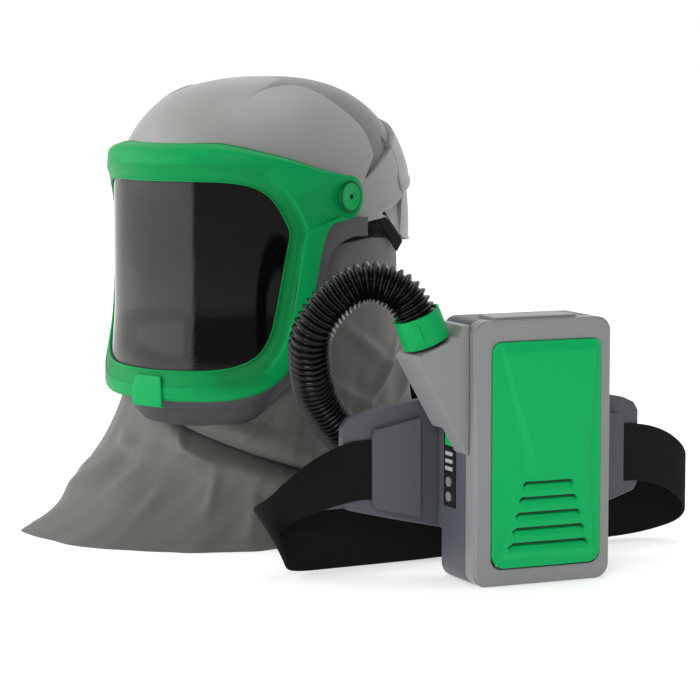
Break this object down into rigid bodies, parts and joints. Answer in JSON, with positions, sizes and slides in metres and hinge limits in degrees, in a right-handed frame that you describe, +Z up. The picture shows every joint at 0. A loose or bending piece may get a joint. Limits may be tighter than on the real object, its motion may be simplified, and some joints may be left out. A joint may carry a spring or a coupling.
{
  "type": "powered air respirator",
  "caption": "Loose-fitting respirator helmet with lift-up visor and neck cape, fed through a corrugated hose by a belt-worn filter blower.",
  "frame": {"origin": "centre of the footprint of the helmet, blower and belt, on the surface they stand on; the hose is not counted", "axes": "the helmet faces -Y, +Z is up, the wearer's left is +X"},
  "size_m": [0.55, 0.4142, 0.3992],
  "materials": {
    "shell": "satin",
    "green": "satin",
    "lens": "clear",
    "dark": "satin",
    "rubber": "matte",
    "hose": "glossy",
    "fabric": "coated",
    "webbing": "woven",
    "pad": "moulded",
    "case_dark": "satin",
    "case_light": "satin",
    "steel": "plain",
    "nylon": "plain",
    "red": "satin",
    "board": "plain"
  },
  "bodies": {
    "respirator": {"helmet_shell": "shell", "crown_duct_cover": "shell", "face_frame": "dark", "face_seal": "rubber", "pivot_pins": "steel", "pivot_washers": "nylon", "cape_front": "fabric", "cape_left": "fabric", "cape_right": "fabric", "nape_strap": "webbing", "neck_collar": "fabric", "headband": "dark", "crown_straps": "dark", "brow_pad": "rubber", "suspension_clips": "dark", "ratchet_housing": "dark", "air_channel": "dark", "inlet_socket": "dark", "helmet_cuff": "rubber", "breathing_hose": "hose", "hose_inner_cuff": "rubber", "outlet_duct": "case_light", "outlet_spigot": "dark", "rear_housing": "case_dark", "front_bezel": "case_light", "door_hinge_pin": "steel", "filter_gasket": "rubber", "filter_cartridge": "nylon", "pre_filter": "nylon", "fan_volute": "dark", "motor": "dark", "circuit_board": "board", "alarm_buzzer": "dark", "status_display": "dark", "housing_screws": "steel", "back_plate": "pad", "hip_pad_left": "pad", "hip_pad_right": "pad", "strap_guide_left": "pad", "strap_guide_right": "pad", "belt_webbing": "webbing", "buckle_socket": "dark", "buckle_plug": "dark", "strap_adjuster": "dark"},
    "visor": {"visor_frame": "green", "visor_lens": "lens", "lens_gasket": "rubber"},
    "left_pivot_cap": {"pivot_cap_left": "green"},
    "right_pivot_cap": {"pivot_cap_right": "green"},
    "size_knob": {"ratchet_knob": "dark", "ratchet_pinion": "nylon"},
    "bayonet_collar": {"hose_collar": "green"},
    "filter_door": {"filter_door": "green"},
    "door_latch": {"door_latch": "case_dark"},
    "fan_rotor": {"impeller": "nylon", "motor_shaft": "steel"},
    "battery": {"battery_pack": "dark"},
    "battery_latch": {"battery_latch": "red"},
    "power_button": {"power_button": "case_light"},
    "speed_button": {"speed_button": "case_light"}
  },
  "joints": [
    {"name": "visor_hinge", "type": "hinge", "parent": "respirator", "child": "visor", "pos_m": [-0.0963, -0.01934, 0.297], "axis": [-1, 0, 0], "range_deg": [0, 80]},
    {"name": "left_cap_turn", "type": "hinge", "parent": "visor", "child": "left_pivot_cap", "pos_m": [0.0277, -0.01934, 0.297], "axis": [1, 0, 0], "range_deg": [0, 90]},
    {"name": "right_cap_turn", "type": "hinge", "parent": "visor", "child": "right_pivot_cap", "pos_m": [-0.2203, -0.01934, 0.297], "axis": [-1, 0, 0], "range_deg": [0, 90]},
    {"name": "size_knob_turn", "type": "hinge", "parent": "respirator", "child": "size_knob", "pos_m": [-0.0963, 0.11466, 0.288], "axis": [0, 1, 0], "continuous": true},
    {"name": "collar_twist", "type": "hinge", "parent": "respirator", "child": "bayonet_collar", "pos_m": [0.18454, -0.11209, 0.189], "axis": [-0.1713, -0.3512, 0.9205], "range_deg": [0, 30]},
    {"name": "filter_door_hinge", "type": "hinge", "parent": "respirator", "child": "filter_door", "pos_m": [0.24884, -0.04777, 0.0172], "axis": [0.4384, 0.8988, 0], "range_deg": [0, 95]},
    {"name": "door_latch_press", "type": "slide", "parent": "respirator", "child": "door_latch", "axis": [0, 0, -1], "range_m": [0, 0.0015], "stiffness_N_per_m": 800, "springref_m": -0.001},
    {"name": "impeller_spin", "type": "hinge", "parent": "respirator", "child": "fan_rotor", "pos_m": [0.21588, -0.02501, 0.118], "axis": [-0.8988, 0.4384, 0], "continuous": true},
    {"name": "battery_slide", "type": "slide", "parent": "respirator", "child": "battery", "axis": [0.4384, 0.8988, 0], "range_m": [0, 0.1]},
    {"name": "battery_latch_press", "type": "slide", "parent": "battery", "child": "battery_latch", "axis": [0, 0, -1], "range_m": [0, 0.0015], "stiffness_N_per_m": 800, "springref_m": -0.001},
    {"name": "power_button_press", "type": "slide", "parent": "respirator", "child": "power_button", "axis": [0.4384, 0.8988, 0], "range_m": [0, 0.0012], "stiffness_N_per_m": 800, "springref_m": -0.001},
    {"name": "speed_button_press", "type": "slide", "parent": "respirator", "child": "speed_button", "axis": [0.4384, 0.8988, 0], "range_m": [0, 0.0012], "stiffness_N_per_m": 800, "springref_m": -0.001}
  ]
}
